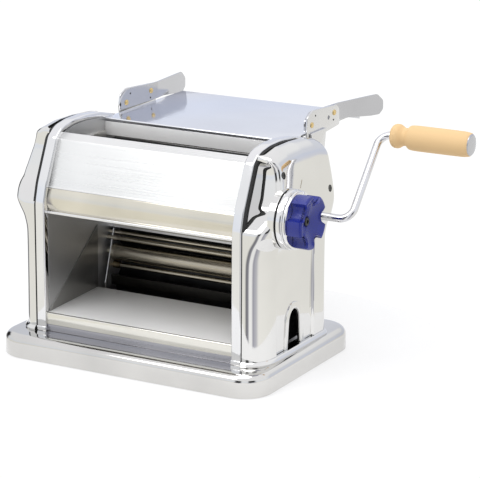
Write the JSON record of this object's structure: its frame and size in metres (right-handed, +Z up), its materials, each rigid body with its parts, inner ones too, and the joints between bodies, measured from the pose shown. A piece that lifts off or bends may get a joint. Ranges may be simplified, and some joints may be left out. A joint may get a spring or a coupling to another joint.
{
  "type": "pasta roller machine",
  "caption": "Hand-cranked pasta roller on a pressed base, with chromed side casings, feed tray and guides, delivery chute, gap knob and wooden grip.",
  "frame": {"origin": "centre of the 220 mm working width, in the plane the rubber edging under the base stands on", "axes": "+X towards the crank and knob, along the roller axes; -Y towards the front, where the sheet comes out; +Z up"},
  "size_m": [0.4498, 0.338, 0.252],
  "materials": {
    "chrome_sheet": "polished stainless sheet",
    "roller_chrome": "polished",
    "plate_steel": "satin",
    "gear_steel": "machined, oiled",
    "dark_steel": "blackened",
    "brass": "satin",
    "blue_plastic": "semi-gloss royal blue",
    "white_plastic": "matt off-white",
    "rubber": "matt black",
    "beech": "varnished light wood"
  },
  "bodies": {
    "frame": {"base_plate": "chrome_sheet", "block_springs": "plate_steel", "bracket_screws": "plate_steel", "casing_screws": "dark_steel", "chute": "chrome_sheet", "detent_ball": "plate_steel", "detent_spring": "plate_steel", "feed_tray": "chrome_sheet", "front_cover": "chrome_sheet", "front_sill": "chrome_sheet", "guide_screws": "brass", "inner_brackets": "plate_steel", "knob_collar": "chrome_sheet", "left_casing": "chrome_sheet", "left_guide_bracket": "chrome_sheet", "left_guide_wing": "chrome_sheet", "left_hopper_cheek": "plate_steel", "left_shaft_bearing": "plate_steel", "left_side_frame": "plate_steel", "left_trim_band": "chrome_sheet", "lower_guard": "chrome_sheet", "rear_cover": "chrome_sheet", "rear_rail": "plate_steel", "rear_scraper": "white_plastic", "right_casing": "chrome_sheet", "right_guide_bracket": "chrome_sheet", "right_guide_wing": "chrome_sheet", "right_hopper_cheek": "plate_steel", "right_shaft_bearing": "plate_steel", "right_side_frame": "plate_steel", "right_trim_band": "chrome_sheet", "rod_bushes": "brass", "rod_nuts": "plate_steel", "roller_bushes": "brass", "rubber_edging": "rubber", "scraper_rail": "plate_steel", "spacer_tube": "plate_steel", "tie_rods": "plate_steel"},
    "drive": {"rear_roller": "roller_chrome", "rear_roller_gear": "gear_steel", "crank_rod": "roller_chrome", "crank_boss": "roller_chrome", "grip_cap": "roller_chrome"},
    "grip": {"wooden_grip": "beech"},
    "carriage": {"right_bearing_block": "gear_steel", "left_bearing_block": "gear_steel", "follower_pins": "gear_steel", "front_scraper": "plate_steel"},
    "front_roller": {"front_roller": "roller_chrome", "front_roller_gear": "gear_steel"},
    "adjuster": {"adjuster_shaft": "plate_steel", "adjuster_cams": "gear_steel", "dial_ring": "chrome_sheet", "adjusting_knob": "blue_plastic", "knob_screw": "dark_steel"}
  },
  "joints": [
    {"name": "crank_spin", "type": "hinge", "parent": "frame", "child": "drive", "pos_m": [0, 0.011, 0.1625], "axis": [1, 0, 0], "continuous": true},
    {"name": "grip_spin", "type": "hinge", "parent": "drive", "child": "grip", "pos_m": [0.25, 0.07726, 0.2374], "axis": [1, 0, 0], "continuous": true},
    {"name": "knob_turn", "type": "hinge", "parent": "frame", "child": "adjuster", "pos_m": [0, -0.043, 0.1705], "axis": [1, 0, 0], "range_deg": [0, 270]},
    {"name": "carriage_slide", "type": "slide", "parent": "frame", "child": "carriage", "axis": [0, -0.9892, 0.1465], "range_m": [0, 0.0045]},
    {"name": "front_roller_spin", "type": "hinge", "parent": "carriage", "child": "front_roller", "pos_m": [0, -0.0347, 0.16927], "axis": [1, 0, 0], "continuous": true}
  ],
  "couplings": [
    {"joint": "knob_turn", "follows": "carriage_slide", "rad_per_m": 1047.2},
    {"joint": "front_roller_spin", "follows": "crank_spin", "ratio": -1}
  ]
}
